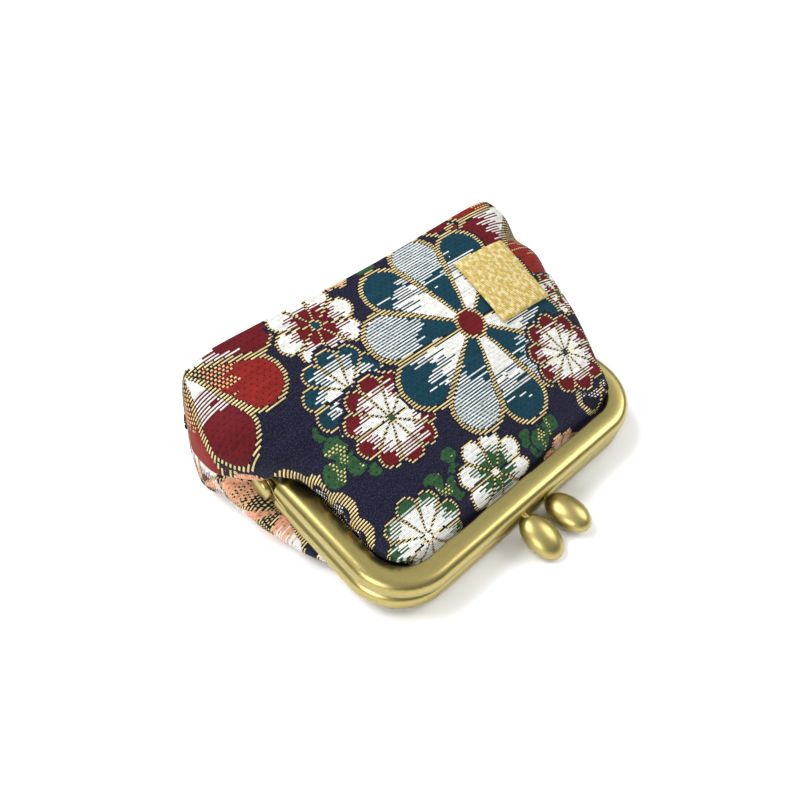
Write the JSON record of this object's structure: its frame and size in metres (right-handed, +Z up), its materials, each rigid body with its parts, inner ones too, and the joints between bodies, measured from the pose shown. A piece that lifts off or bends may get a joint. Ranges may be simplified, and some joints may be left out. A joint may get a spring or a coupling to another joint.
{
  "type": "brocade purse",
  "caption": "Small brocade coin purse lying closed on its back, with a square brass clasp frame, olive knobs, riveted hinges and a boxed bottom.",
  "frame": {"origin": "centre of the bounding box's bottom face, on the ground that the purse lies on", "axes": "+X along the clasp's mouth bar to the right, seen from the mouth, +Y from the mouth to the bag's bottom, +Z up, out of the front panel"},
  "size_m": [0.1006, 0.0772, 0.0437],
  "materials": {
    "brass": "satin antique brass",
    "brocade": "woven silk brocade, flowers on a navy ground",
    "label": "woven gold thread, plain"
  },
  "bodies": {
    "root": {"frame_front": "brass", "frame_back": "brass", "knob_front": "brass", "knob_back": "brass", "hinge_rivet_left": "brass", "hinge_rivet_right": "brass", "front_panel": "brocade", "back_panel": "brocade", "label": "label"}
  },
  "joints": []
}
